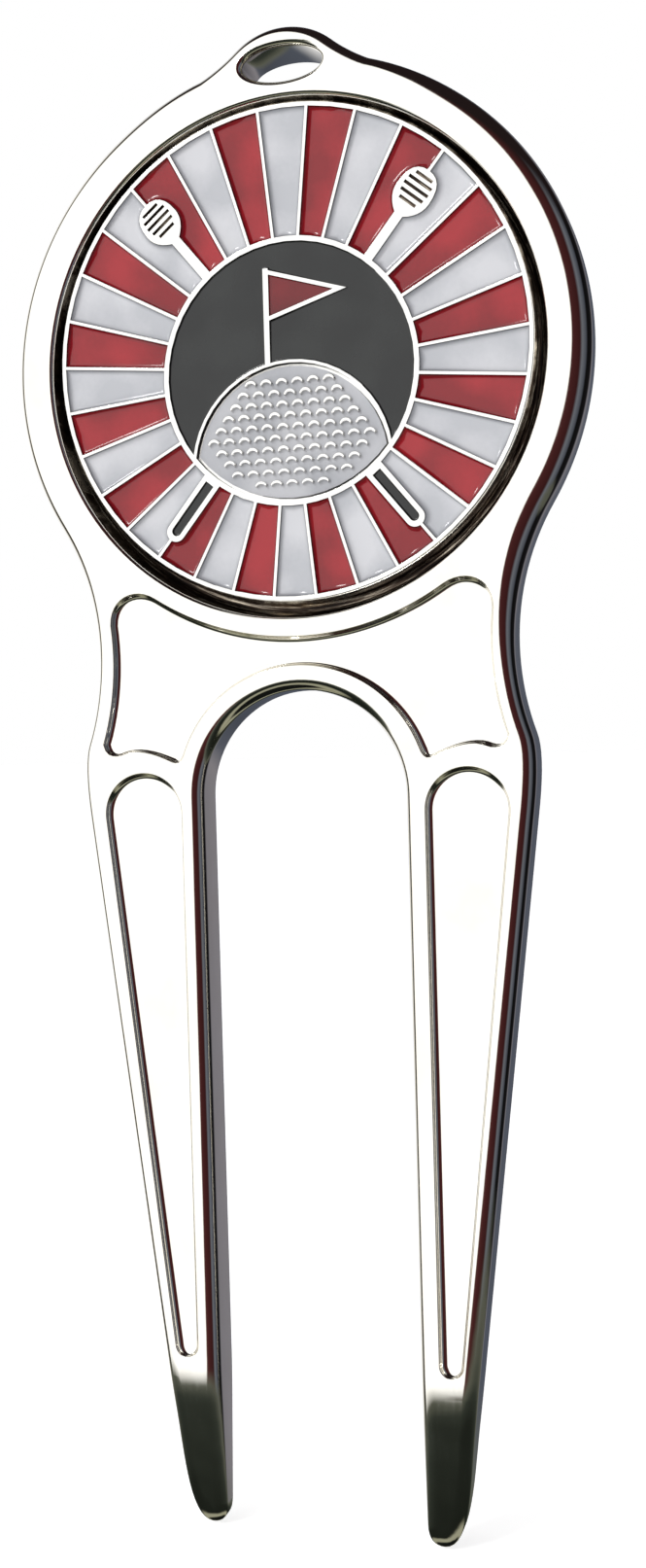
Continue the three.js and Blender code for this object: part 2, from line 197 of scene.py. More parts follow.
def section(points, offset, height):
    """An outline moved outwards and put at a height. Both may be numbers or one number a corner."""
    offsets = offset if isinstance(offset, list) else [offset] * len(points)
    heights = height if isinstance(height, list) else [height] * len(points)
    moved = [Vector(p) + n * o for p, n, o in zip(points, outward(points), offsets)]
    return [(p.x, p.y, z) for p, z in zip(moved, heights)]


def lofted(name, sections):
    """A closed solid through sections that have the same number of corners."""
    deselect_all()
    bpy.ops.mesh.primitive_circle_add(vertices=len(sections[0]), radius=1, fill_type="NGON")
    piece = bpy.context.object
    piece.name = piece.data.name = name
    for vertex, corner in zip(piece.data.vertices, sections[0]):
        vertex.co = corner
    for ring in sections[1:]:
        bpy.ops.object.mode_set(mode="EDIT")
        bpy.ops.mesh.extrude_region_move()
        bpy.ops.object.mode_set(mode="OBJECT")
        raised = [vertex for vertex in piece.data.vertices if vertex.select]
        for vertex, corner in zip(raised, ring):
            vertex.co = corner
    bpy.ops.object.mode_set(mode="EDIT")
    bpy.ops.mesh.select_all(action="SELECT")
    bpy.ops.mesh.normals_make_consistent(inside=False)
    bpy.ops.object.mode_set(mode="OBJECT")
    return piece


def quarter(steps, last=90):
    """(1 - cosine, 1 - sine) at even steps of a quarter turn: the ways along a rounded corner."""
    angles = [math.radians(last * i / steps) for i in range(steps + 1)]
    return [(1 - math.cos(a), 1 - math.sin(a)) for a in angles]


def cut(piece, cutter):
    apply_modifier(piece, "BOOLEAN", operation="DIFFERENCE", object=cutter, solver="EXACT")
    bpy.data.objects.remove(cutter)


# %% [markdown]
# ## The casting's blank
# Polishing wheels have rounded the head's rim broadly, and the prongs' and the lug's less. The
# prongs' last millimetres are thinned from both sides, so that they go into turf easily: cuts
# across the blank give the thinning something to bend at, and the corners beyond them are moved
# towards the middle of the thickness. The cuts all lie below the
# sunk panels, and one runs through each of the outline's own corners, so every strip stays flat.

# %% The blank with its rounded rim
HEAD_RIM, PRONG_RIM = (1.08, 0.85), (0.72, 0.6)
NECK_BLEND, LUG_BLEND = (-17, -9), (15, 12)
TAPER_START, TAPER_DEPTH = -52.2, 0.8
TAPER_CUTS = (-50.95, -51.3, -51.65, -52, -52.35, -52.7, -53, -53.45)


def blend_between(value, start, end):
    """0 before the start and 1 after the end, with a smooth change between them."""
    t = min(max((value - start) / (end - start), 0), 1)
    return t * t * (3 - 2 * t)


def rim(y):
    """The rim's (width, depth) at a height on the tool."""
    share = blend_between(y, *NECK_BLEND) * blend_between(y, *LUG_BLEND)
    return [p + (h - p) * share for h, p in zip(HEAD_RIM, PRONG_RIM)]


rims = [rim(y) for _, y in CASTING_OUTLINE]
profile = quarter(7)
front = [
    section(CASTING_OUTLINE, [-w * near for w, _ in rims], [-d * down for _, d in rims])
    for down, near in profile
]
back = [[(x, y, -THICKNESS - z) for x, y, z in ring] for ring in reversed(front)]
casting = lofted("casting", front + back)

make_active(casting)
bpy.ops.object.mode_set(mode="EDIT")
for height in TAPER_CUTS:
    bpy.ops.mesh.select_all(action="SELECT")
    bpy.ops.mesh.bisect(plane_co=(0, height, 0), plane_no=(0, 1, 0))
bpy.ops.object.mode_set(mode="OBJECT")
ease = TAPER_START - TAPER_CUTS[-1]
middle = -THICKNESS / 2
for vertex in casting.data.vertices:
    below = TAPER_START - vertex.co.y
    eased = (below + ease) ** 2 / (4 * ease) if abs(below) < ease else max(0, below)
    beyond = eased / (TAPER_START - TIP_END)
    vertex.co.z = middle + (vertex.co.z - middle) * (1 - beyond * TAPER_DEPTH / -middle)
print("blank:", len(casting.data.polygons), "faces")

# %% [markdown]
# ## The loop hole, the recess and the sunk panels
# These are cut with lofted cutters. The recess has a straight wall, because the marker has to drop
# in, with a rounded mouth that the polishing wheel has worn. The panels are only there to look
# light, so their walls sweep down into the floor in one hollow curve, as in a die that the casting
# has to come out of. It is this curve that draws the dark lines round them.

# %% Cutters with a flared mouth
ABOVE = 0.3
MOUTH_END, MOUTH_FLARE = 75, 3
PANEL_ROOM = 0.7


def mouth(radius, steps=5):
    """(offset, height) up a wall's rounded mouth and past the face above it."""
    rounded = [(radius * out, -radius * low) for out, low in quarter(steps, MOUTH_END)]
    out, height = rounded[-1]
    return rounded + [(out - height * MOUTH_FLARE, -height), (out - height * MOUTH_FLARE, ABOVE)]


def room_inside(points):
    """At each corner of an outline, the radius of the largest circle that fits against it inside."""
    rooms = []
    for point, out in zip(points, outward(points)):
        ways = [Vector(other) - Vector(point) for other in points if other != point]
        rooms.append(min(w.length_squared / max(-2 * w.dot(out), 1e-6) for w in ways))
    return rooms


def pocket(name, outline, depth, sweep, mouth_radius):
    """A cutter for a sunk panel whose walls sweep into its floor, by less in a tight corner."""
    sweeps = [min(sweep, PANEL_ROOM * room) for room in room_inside(outline)]
    wall = depth - mouth_radius
    sides = [([-s * near for s in sweeps], -depth + wall * down) for down, near in quarter(6)[:-1]]
    return lofted(name, [section(outline, *step) for step in sides + mouth(mouth_radius)])


# %% The loop hole
HOLE_HALF_LENGTH, HOLE_HALF_HEIGHT, HOLE_MOUTH = 2.1, 0.86, 0.3
turn = [math.radians(5 * i) for i in range(72)]
HOLE = [(HOLE_HALF_LENGTH * math.cos(a), LOOP_HOLE_Y + HOLE_HALF_HEIGHT * math.sin(a)) for a in turn]
upper = mouth(HOLE_MOUTH)
lower = [(offset, -THICKNESS - height) for offset, height in reversed(upper)]
cut(casting, lofted("hole_cutter", [section(HOLE, *step) for step in lower + upper]))

# %% The recess and the magnet's pocket
RECESS_RADIUS, RECESS_DEPTH, RECESS_MOUTH = 12.9, 1.3, 0.22
MAGNET_POCKET_RADIUS, MAGNET_LENGTH = 5.05, 1
pocket_offset = MAGNET_POCKET_RADIUS - RECESS_RADIUS
steps = [(pocket_offset, -RECESS_DEPTH - MAGNET_LENGTH), (pocket_offset, -RECESS_DEPTH)]
GROOVE_WIDTH, GROOVE_DEPTH = 0.95, 0.5
GROOVE_STEP, GROOVE_DROP = 0.02, 0.1
steps += [(-GROOVE_WIDTH, -RECESS_DEPTH), (-GROOVE_WIDTH + GROOVE_STEP, -RECESS_DEPTH - GROOVE_DROP)]
steps += [(GROOVE_WIDTH / 2 * (math.cos(a) - 1), -RECESS_DEPTH + GROOVE_DEPTH * math.sin(a))
          for a in [math.radians(195 + 15 * i) for i in range(11)]]
steps += mouth(RECESS_MOUTH)
RECESS = arc((0, 0), RECESS_RADIUS, 0, 357.5, 143)
cut(casting, lofted("recess_cutter", [section(RECESS, *step) for step in steps]))

# %% The panel under the head
PANEL_DEPTH, PANEL_SWEEP, PANEL_MOUTH = 0.35, 0.34, 0.06
HEAD_PANEL_TOP, HEAD_PANEL_CORNER = 13.9, -57
EDGE_MARGIN, SIDE_TOP, SIDE_FOOT = 1, -12.9, -19.05
ARCH_RADIUS, ARCH_START = 6.6, 16
side_radius = NECK_RADIUS + EDGE_MARGIN
side_from, side_to = neck_angle(SIDE_TOP, side_radius), neck_angle(SIDE_FOOT, side_radius)
top = arc((0, 0), HEAD_PANEL_TOP, -90, HEAD_PANEL_CORNER, 16)
side = arc((NECK_X, NECK_Y), side_radius, side_from, side_to, 12)
arch = arc((0, SLOT_END), ARCH_RADIUS, ARCH_START, 90, 30)
half = top + soft_curve([top[-1], (top[-1][0] + 1.1, top[-1][1] + 0.7), (side[0][0], -11.5), side[0]], 12)
half += side[1:]
half += soft_curve([side[-1], (side[-1][0] - 0.15, -19.75), (9.9, -19.72), (9.5, -19.55)], 6)
half += soft_curve([(9.5, -19.55), (8.9, -19.3), (7.9, -19.5), (6.85, -20.02)], 8)
half += soft_curve([(6.85, -20.02), (6.4, -20.25), arch[2]], 5) + arch[3:]
cut(casting, pocket("panel_cutter", mirrored(half), PANEL_DEPTH, PANEL_SWEEP, PANEL_MOUTH))

# %% The panels on the prongs
TOP_END, LOW_END = (8.5, -22.7, 2.1), (7, -50.3, 0.6)
span = math.hypot(TOP_END[0] - LOW_END[0], TOP_END[1] - LOW_END[1])
lean = math.degrees(math.atan2(TOP_END[0] - LOW_END[0], TOP_END[1] - LOW_END[1]))
taper = math.degrees(math.asin((TOP_END[2] - LOW_END[2]) / span))
outline = arc(TOP_END[:2], TOP_END[2], -lean - taper, 180 - lean + taper, 32)
outline += arc(LOW_END[:2], LOW_END[2], 180 - lean + taper, 360 - lean - taper, 20)
for side_sign, side_name in ((1, "right"), (-1, "left")):
    flipped = [(side_sign * x, y) for x, y in outline]
    cut(casting, pocket(f"prong_cutter_{side_name}", flipped, PANEL_DEPTH, PANEL_SWEEP, PANEL_MOUTH))
stand_upright(casting)
print("casting:", len(casting.data.polygons), "faces")

# %% [markdown]
# ## Smooth but flat
# A mirror shows every slip in its normals. The rounded parts are shaded smooth, and the weighted
# normals let the large flat faces keep their own direction, so that they mirror evenly to the rim.

# %% Polished shading
def polish(piece, angle=35):
    make_active(piece)
    bpy.ops.object.shade_smooth_by_angle(angle=math.radians(angle))
    apply_modifier(piece, "WEIGHTED_NORMAL", mode="FACE_AREA", weight=100, keep_sharp=True)


polish(casting)

# %% [markdown]
# ## The struck marker
# The marker disc is struck in a die, which leaves thin raised lines between sunk cells. The CAD
# disc has all of them in place, so a copy of it is merged into one closed mesh, its flat faces are
# cleaned up, the clubs' blades get their face grooves, and the edges are worn round by a fine bevel.

# %% A merged copy of a CAD node
def merged_copy(node, name):
    deselect_all()
    piece = frame["nodes"][node].copy()
    piece.data = piece.data.copy()
    piece.name = piece.data.name = name
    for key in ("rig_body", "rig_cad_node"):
        del piece[key]
    piece.parent = None
    bpy.context.scene.collection.objects.link(piece)
    piece.data.materials.clear()
    make_active(piece)
    bpy.ops.object.mode_set(mode="EDIT")
    bpy.ops.mesh.select_all(action="SELECT")
    bpy.ops.mesh.remove_doubles(threshold=0.000002)
    bpy.ops.mesh.customdata_custom_splitnormals_clear()
    bpy.ops.mesh.dissolve_limited(angle_limit=math.radians(1))
    bpy.ops.object.mode_set(mode="OBJECT")
    return piece


MARKER_SHIFT = (-0.1, 0.3)
MARKER_FACE, CELL_FLOOR = -0.3, -0.7
ROUNDEL_Y, ROUNDEL_RADIUS = -0.9, 6.45
CLUB_ANGLE = 50.625
GROOVE_HALF_WIDTH, FACE_GROOVE_DEPTH = 0.08, 0.2
BLADE_GROOVES = ((9.95, 0.5), (10.3, 0.68), (10.65, 0.74), (11, 0.7), (11.33, 0.5))
DISC_WEAR = 0.04
disc = merged_copy("marker_disc", "struck_disc")
for angle in (math.radians(CLUB_ANGLE), math.radians(180 - CLUB_ANGLE)):
    along, across = Vector((math.cos(angle), math.sin(angle))), Vector((-math.sin(angle), math.cos(angle)))
    start = Vector(MARKER_SHIFT) + Vector((0, ROUNDEL_Y))
    for distance, reach in BLADE_GROOVES:
        corners = [start + along * (distance + a * GROOVE_HALF_WIDTH) + across * b * reach
                   for a, b in ((-1, -1), (1, -1), (1, 1), (-1, 1))]
        groove = lofted("groove_cutter", [[(c.x, c.y, MARKER_FACE - FACE_GROOVE_DEPTH) for c in corners],
                                          [(c.x, c.y, ABOVE) for c in corners]])
        stand_upright(groove)
        cut(disc, groove)
apply_modifier(disc, "BEVEL", width=DISC_WEAR * MM, segments=2, limit_method="ANGLE",
               angle_limit=math.radians(40), use_clamp_overlap=True)
polish(disc, 40)
print("marker disc:", len(disc.data.polygons), "faces")

# %% [markdown]
# ## The enamel
# Soft enamel is poured into each cell and baked. It climbs the metal lines round it and sinks in
# the middle as it cures, so each fill has a hollow, glassy top. Every fill is a merged copy of its
# CAD cell, whose top is raised at its edge and then inset in steps, each lower than the last. Cells
# with narrow places or sharp corners get shallower steps, which don't run into each other there.

# %% One hollow-topped fill for each cell
MENISCUS = ((0.05, -0.07), (0.08, -0.055), (0.11, -0.035), (0.16, -0.015))
ENAMEL_RISE, NARROW_CELL_SHARE, TOP_REACH = 0.08, 0.3, 0.01
NARROW_CELLS = ("grip", "pennant", "sky")
fills = {}
for node in frame["nodes"]:
    if not node.startswith("enamel"):
        continue
    fill = merged_copy(node, node.replace("enamel_", "") + "_fill")
    share = NARROW_CELL_SHARE if any(word in node for word in NARROW_CELLS) else 1
    make_active(fill)
    top = min(vertex.co.y for vertex in fill.data.vertices)
    for polygon in fill.data.polygons:
        corners = [fill.data.vertices[i].co.y for i in polygon.vertices]
        polygon.select = max(corners) < top + TOP_REACH * MM
    bpy.ops.object.mode_set(mode="EDIT")
    bpy.ops.mesh.select_mode(type="FACE")
    bpy.ops.transform.translate(value=(0, -ENAMEL_RISE * MM, 0))
    for thickness, depth in MENISCUS:
        bpy.ops.mesh.inset(thickness=thickness * share * MM, depth=depth * share * MM,
                           use_even_offset=False)
    bpy.ops.object.mode_set(mode="OBJECT")
    polish(fill, 60)
    fills[node] = fill
print("enamel fills:", len(fills))

# %% [markdown]
# ## The ball's dimples
# Raised crescents stand for a golf ball's dimples, each the lit upper lip of one. They are struck
# with the disc. One crescent is lofted, and a copy is put at each place in the rows, with every other
# row shifted by half a step. The crescents flatten towards the ball's lower edge.

# %% One crescent, copied over the ball
BALL_Y, BALL_RADIUS = ROUNDEL_Y - 4.7, 5.2
DIMPLE_PITCH, DIMPLE_OUTER, DIMPLE_INNER = 0.82, 0.34, 0.26
ROW_SPACING, ROWS, COLUMNS_EACH_SIDE = 0.56, 19, 8
LIP_SHIFT, LIP_SHOULDER, LIP_TOP, LIP_BEVEL = 0.13, 0.06, 0.01, 0.035
BALL_MARGIN, ROUNDEL_MARGIN = 0.6, 0.55
ROUNDEST_HEIGHT, FLATTENING_RADIUS, FLATTEST = 2.6, 6.4, 0.35

outer_lip = arc((0, 0), DIMPLE_OUTER, 8, 172, 12)
inner_lip = arc((0, -LIP_SHIFT), DIMPLE_INNER, 160, 20, 10)
crescent = lofted("crescent", [
    section(outer_lip + inner_lip, *step)
    for step in ((0, CELL_FLOOR), (0, MARKER_FACE - LIP_SHOULDER), (-LIP_BEVEL, MARKER_FACE - LIP_TOP))
])
crescents = []
rows = [BALL_RADIUS - ROUNDEL_MARGIN - ROW_SPACING * i for i in range(ROWS)]
for row, height in enumerate(rows):
    y = BALL_Y + height
    round_the_ball = min(1, abs(height - ROUNDEST_HEIGHT) / FLATTENING_RADIUS)
    squeeze = max(FLATTEST, math.cos(math.asin(round_the_ball)))
    for column in range(-COLUMNS_EACH_SIDE, COLUMNS_EACH_SIDE + 1):
        x = (column + 0.5 * (row % 2)) * DIMPLE_PITCH
        inside_ball = math.hypot(x, height) < BALL_RADIUS - BALL_MARGIN
        inside_roundel = math.hypot(x, y - ROUNDEL_Y) < ROUNDEL_RADIUS - ROUNDEL_MARGIN
        if inside_ball and inside_roundel:
            one = crescent.copy()
            one.data = crescent.data.copy()
            bpy.context.scene.collection.objects.link(one)
            one.location = (x + MARKER_SHIFT[0], y + MARKER_SHIFT[1], 0)
            one.scale = (1, squeeze, 1)
            crescents.append(one)
bpy.data.objects.remove(crescent)
deselect_all()
for one in crescents:
    one.select_set(True)
bpy.context.view_layer.objects.active = crescents[0]
bpy.ops.object.transform_apply(location=True, rotation=True, scale=True)
bpy.ops.object.join()
dimples = bpy.context.object
dimples.name = dimples.data.name = "ball_dimples"
stand_upright(dimples)
polish(dimples, 40)
print("crescents:", len(crescents))

# %% [markdown]
# ## The magnet
# A sintered disc magnet has a thin nickel plate and a small chamfer all round, so that its edge
# doesn't chip. A cylinder with a bevel of one straight step has just that shape.

# %% The magnet's disc
MAGNET_RADIUS, MAGNET_CHAMFER, MAGNET_SETBACK = 5, 0.12, 0.01
magnet_height = MAGNET_LENGTH - MAGNET_SETBACK
deselect_all()
bpy.ops.mesh.primitive_cylinder_add(
    vertices=72, radius=MAGNET_RADIUS, depth=magnet_height,
    location=(0, 0, -RECESS_DEPTH - MAGNET_SETBACK - magnet_height / 2))
magnet = bpy.context.object
magnet.name = magnet.data.name = "magnet_disc"
bpy.ops.object.transform_apply(location=True, rotation=True, scale=True)
apply_modifier(magnet, "BEVEL", width=MAGNET_CHAMFER, segments=1, limit_method="ANGLE",
               angle_limit=math.radians(60))
stand_upright(magnet)
polish(magnet)

# %% [markdown]
# ## Materials
# All the metal here is bright nickel plate: zinc and iron under it set how well it was polished.
# Colours are written as the hex values that a screen shows, and one function makes them linear.

# %% Helpers for materials
def linear(hex_colour):
    channels = [int(hex_colour[i:i + 2], 16) / 255 for i in (1, 3, 5)]
    return [c / 12.92 if c < 0.04045 else ((c + 0.055) / 1.055) ** 2.4 for c in channels] + [1]


def add_node(tree, kind, settings=(), links=()):
    """A node with its properties or socket values set, and (socket, source output) links made."""
    node = tree.nodes.new(kind)
    for name, value in dict(settings).items():
        if isinstance(name, int) or name in node.inputs:
            node.inputs[name].default_value = value
        else:
            setattr(node, name, value)
    for name, source in dict(links).items():
        tree.links.new(source, node.inputs[name])
    return node


def new_material(name, **values):
    """A material with its Principled shader's constant values set, and its place in the piece."""
    material = bpy.data.materials.new(name)
    material.use_nodes = True
    tree = material.node_tree
    shader = tree.nodes["Principled BSDF"]
    for key, value in values.items():
        shader.inputs[key.replace("_", " ")].default_value = value
    place = add_node(tree, "ShaderNodeTexCoord").outputs["Object"]
    return material, tree, shader, place


def shades(tree, source, stops):
    """A colour ramp with (position, hex colour) stops."""
    ramp = add_node(tree, "ShaderNodeValToRGB", links={"Fac": source})
    ramp.color_ramp.elements.remove(ramp.color_ramp.elements[1])
    for i, (position, colour) in enumerate(stops):
        element = ramp.color_ramp.elements[0] if i == 0 else ramp.color_ramp.elements.new(position)
        element.position = position
        element.color = linear(colour)
    return ramp.outputs["Color"]


# %% [markdown]
# ### Bright nickel plate
# Nickel is a warm white metal. Buffing leaves it almost a mirror, but never quite flat: a buffed
# casting has a faint orange peel some 2 mm across, fine lines along the strokes of the wheel, and
# thin cloudy patches where the polish has left a haze.

# %% The plated metals
def bright_nickel(name, colour, haze, peel, lines, line_scale):
    material, tree, shader, place = new_material(name, Metallic=1.0)
    clouds = add_node(tree, "ShaderNodeTexNoise", {"Scale": 1 / (6 * MM), "Detail": 4.0, "Roughness": 0.6},
                      {"Vector": place})
    tint = shades(tree, clouds.outputs["Fac"], ((0.3, colour[0]), (0.7, colour[1])))
    tree.links.new(tint, shader.inputs["Base Color"])
    stretched = add_node(tree, "ShaderNodeMapping", {"Scale": line_scale}, {"Vector": place})
    strokes = add_node(tree, "ShaderNodeTexNoise", {"Scale": 1.0, "Detail": 5.0, "Roughness": 0.65},
                       {"Vector": stretched.outputs["Vector"]})
    polish_map = add_node(tree, "ShaderNodeMath", {"operation": "MULTIPLY"},
                          {0: clouds.outputs["Fac"], 1: strokes.outputs["Fac"]})
    roughness = add_node(tree, "ShaderNodeMapRange", {"From Min": 0.12, "From Max": 0.42,
                                                      "To Min": haze[0], "To Max": haze[1]},
                         {"Value": polish_map.outputs["Value"]})
    tree.links.new(roughness.outputs["Result"], shader.inputs["Roughness"])
    dips = add_node(tree, "ShaderNodeTexNoise", {"Scale": 1 / (2.2 * MM), "Detail": 1.0}, {"Vector": place})
    peeled = add_node(tree, "ShaderNodeBump", {"Strength": 1.0, "Distance": peel * MM},
                      {"Height": dips.outputs["Fac"]})
    stroked = add_node(tree, "ShaderNodeBump", {"Strength": 1.0, "Distance": lines * MM},
                       {"Height": strokes.outputs["Fac"], "Normal": peeled.outputs["Normal"]})
    tree.links.new(stroked.outputs["Normal"], shader.inputs["Normal"])
    return material


STROKES_UP = (1 / (0.35 * MM), 1 / (0.35 * MM), 1 / (7 * MM))
plated_zinc = bright_nickel("bright_nickel_on_zinc", ("#e6e2d8", "#f1efe8"), (0.03, 0.12), 0.012, 0.0006,
                            STROKES_UP)
plated_iron = bright_nickel("bright_nickel_on_iron", ("#e4e3df", "#f2f1ee"), (0.1, 0.22), 0.006, 0.0005,
                            STROKES_UP)
plated_magnet = bright_nickel("satin_nickel_on_magnet", ("#b4b6b8", "#c6c8ca"), (0.28, 0.4), 0.004, 0.0008,
                              (1 / (0.2 * MM),) * 3)

# %% [markdown]
# ### Dull plate in the recess
# The polishing wheel doesn't reach the groove round the marker, so the plate there is thin and dull
# and has gone brown. The marker has rubbed it as it was turned, so the noise is laid out by distance
# from the recess's axis and by angle round it, which stretches the stains into broken rings.

# %% Rubbed and stained nickel
RUB_WIDTH, RUB_TURN = 0.16, 2.6


def tarnished_nickel():
    material, tree, shader, place = new_material("dull_nickel_in_recess", Metallic=0.8)
    spot = add_node(tree, "ShaderNodeSeparateXYZ", links={"Vector": place})
    rise = add_node(tree, "ShaderNodeMath", {"operation": "ADD", 1: LOOP_HOLE_Y * MM}, {0: spot.outputs["Z"]})
    angle = add_node(tree, "ShaderNodeMath", {"operation": "ARCTAN2"},
                     {0: rise.outputs["Value"], 1: spot.outputs["X"]})
    level = add_node(tree, "ShaderNodeCombineXYZ", links={"X": spot.outputs["X"], "Z": rise.outputs["Value"]})
    radius = add_node(tree, "ShaderNodeVectorMath", {"operation": "LENGTH"}, {0: level.outputs["Vector"]})
    ring = add_node(tree, "ShaderNodeMath", {"operation": "MULTIPLY", 1: 1 / (RUB_WIDTH * MM)},
                    {0: radius.outputs["Value"]})
    turned = add_node(tree, "ShaderNodeMath", {"operation": "MULTIPLY", 1: RUB_TURN},
                      {0: angle.outputs["Value"]})
    rubbed = add_node(tree, "ShaderNodeCombineXYZ", links={
        "X": ring.outputs["Value"], "Y": turned.outputs["Value"]})
    stains = add_node(tree, "ShaderNodeTexNoise", {"Scale": 1.0, "Detail": 5.0, "Roughness": 0.7},
                      {"Vector": rubbed.outputs["Vector"]})
    tint = shades(tree, stains.outputs["Fac"], ((0.43, "#1c1512"), (0.53, "#4f4136"), (0.62, "#ddd2be")))
    tree.links.new(tint, shader.inputs["Base Color"])
    dullness = add_node(tree, "ShaderNodeMapRange", {"From Min": 0.35, "From Max": 0.7,
                                                     "To Min": 0.42, "To Max": 0.2},
                        {"Value": stains.outputs["Fac"]})
    tree.links.new(dullness.outputs["Result"], shader.inputs["Roughness"])
    grain = add_node(tree, "ShaderNodeBump", {"Strength": 1.0, "Distance": 0.01 * MM},
                     {"Height": stains.outputs["Fac"]})
    tree.links.new(grain.outputs["Normal"], shader.inputs["Normal"])
    return material


dull_nickel = tarnished_nickel()

# %% [markdown]
# ### Soft enamel
# The enamel is a pigmented epoxy that is glassy on top. Each cell is painted darker along its edges,
# as painted shade for the metal lines' shadow and the dark room mirrored in its hollow top, and
# carries faint clouds and a few tiny specks.

# %% The enamels
# Heights at which the painted edge shade is full and at which it is gone.
EDGE_SHADE_FULL, EDGE_SHADE_GONE = -1.03, -0.83
COLOUR_A, COLOUR_B, MIXED = 6, 7, 2


def soft_enamel(name, edge_shade_colour, deep, clear):
    material, tree, shader, place = new_material(name, Roughness=0.12, IOR=1.5)
    clouds = add_node(tree, "ShaderNodeTexNoise", {"Scale": 1 / (2.6 * MM), "Detail": 1.0, "Roughness": 0.4},
                      {"Vector": place})
    specks = add_node(tree, "ShaderNodeTexNoise", {"Scale": 1 / (0.28 * MM), "Detail": 2.0},
                      {"Vector": place})
    mixed = add_node(tree, "ShaderNodeMath", {"operation": "MULTIPLY_ADD", 1: 0.12},
                     {0: specks.outputs["Fac"], 2: clouds.outputs["Fac"]})
    tint = shades(tree, mixed.outputs["Value"], ((0.42, deep), (0.7, clear)))
    # Painted shade: the colour darkens towards each cell's edges, where the enamel climbs the metal lines.
    height = add_node(tree, "ShaderNodeSeparateXYZ", links={"Vector": place}).outputs["Y"]
    edge_shade_fade = add_node(tree, "ShaderNodeMapRange",
                    {"From Min": EDGE_SHADE_FULL * MM, "From Max": EDGE_SHADE_GONE * MM}, {"Value": height})
    with_edge_shade = add_node(tree, "ShaderNodeMix", {"data_type": "RGBA", COLOUR_A: linear(edge_shade_colour)},
                     {"Factor": edge_shade_fade.outputs["Result"], COLOUR_B: tint})
    tree.links.new(with_edge_shade.outputs[MIXED], shader.inputs["Base Color"])
    ripple = add_node(tree, "ShaderNodeBump", {"Strength": 1.0, "Distance": 0.01 * MM},
                      {"Height": clouds.outputs["Fac"]})
    tree.links.new(ripple.outputs["Normal"], shader.inputs["Normal"])
    return material


# The first colour of each enamel is its painted edge shade.
red_enamel = soft_enamel("red_soft_enamel", "#3d0a0f", "#82141d", "#a01f28")
grey_enamel = soft_enamel("grey_soft_enamel", "#66686e", "#b4b6bb", "#cacbcf")
black_enamel = soft_enamel("black_soft_enamel", "#0c0d0d", "#232525", "#333635")
print("materials:", [m.name for m in bpy.data.materials])

# %% [markdown]
# ## Finishes and bodies
# Each piece gets its finish, hides the CAD nodes that it stands for, and rides on the body that the
# node belongs to: the marker's pieces lift off together. The recess's groove and the grooves in the
# clubs' blades take the dull plate, which is picked out by where the faces lie.

# %% Everything finds its place
def dress(piece, material, slot, body, *nodes):
    piece.data.materials.clear()
    piece.data.materials.append(material)
    if nodes:
        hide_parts(*nodes)
    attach(piece, body)


dress(casting, plated_zinc, "plated_zinc", "tool", "tool_body")
casting.data.materials.append(dull_nickel)
DULL_MARGIN_IN, DULL_MARGIN_OUT, DULL_MARGIN_BACK = 0.1, 0.15, 0.05
DULL_FROM = RECESS_RADIUS - GROOVE_WIDTH - DULL_MARGIN_IN
DULL_TO = RECESS_RADIUS + DULL_MARGIN_OUT
dull_front = (-THICKNESS / 2 + RECESS_MOUTH) * MM
dull_back = (-THICKNESS / 2 + RECESS_DEPTH + GROOVE_DEPTH + DULL_MARGIN_BACK) * MM
for polygon in casting.data.polygons:
    centre = polygon.center
    from_axis = math.hypot(centre.x, centre.z + LOOP_HOLE_Y * MM)
    if DULL_FROM * MM < from_axis < DULL_TO * MM and dull_front < centre.y < dull_back:
        polygon.material_index = 1
dress(magnet, plated_magnet, "magnet_plating", "tool", "magnet")
dress(disc, plated_iron, "plated_iron", "marker", "marker_disc")
dress(dimples, plated_iron, "plated_iron", "marker")
disc.data.materials.append(dull_nickel)
BLADE_MIDDLE, BLADE_REACH, BLADE_SPREAD, BELOW_FACE = 10.65, 0.85, 5, 0.06
for polygon in disc.data.polygons:
    x = abs(polygon.center.x - MARKER_SHIFT[0] * MM)
    y = polygon.center.z + (LOOP_HOLE_Y - MARKER_SHIFT[1] - ROUNDEL_Y) * MM
    along_shaft = abs(math.hypot(x, y) / MM - BLADE_MIDDLE) < BLADE_REACH
    near_shaft = abs(math.degrees(math.atan2(y, x)) - CLUB_ANGLE) < BLADE_SPREAD
    sunk_in = polygon.center.y > (-THICKNESS / 2 - MARKER_FACE + BELOW_FACE) * MM
    if along_shaft and near_shaft and sunk_in:
        polygon.material_index = 1
ENAMELS = {"red_enamel": red_enamel, "grey_enamel": grey_enamel, "black_enamel": black_enamel}
slots = {part["node"]: part["material_slot"] for part in frame["record"]["subparts"]}
for node, fill in fills.items():
    dress(fill, ENAMELS[slots[node]], slots[node], "marker", node)

# %% [markdown]
# ## The studio
# Polished metal shows what is round it, so the studio is painted as much for the metal as for the
# eye. A wide white sheet in front and to the left turns the flat faces white. A darker room to the
# right draws the rims and the panels' hollow edges, and the dark ground below draws the tips.

# %% The floor
FLOOR_GAP = 0.15
bpy.ops.mesh.primitive_plane_add(size=6, location=(0, 0, (TIP_END - LOOP_HOLE_Y - FLOOR_GAP) * MM))
floor = bpy.context.object
floor.name = "pale_floor"
pale, _, pale_shader, _ = new_material("pale_acrylic", Roughness=0.6)
pale_shader.inputs["Base Color"].default_value = linear("#f4f4f3")
pale_shader.inputs["Emission Color"].default_value = linear("#ffffff")
pale_shader.inputs["Emission Strength"].default_value = 0.75
floor.data.materials.append(pale)
floor.visible_glossy = False

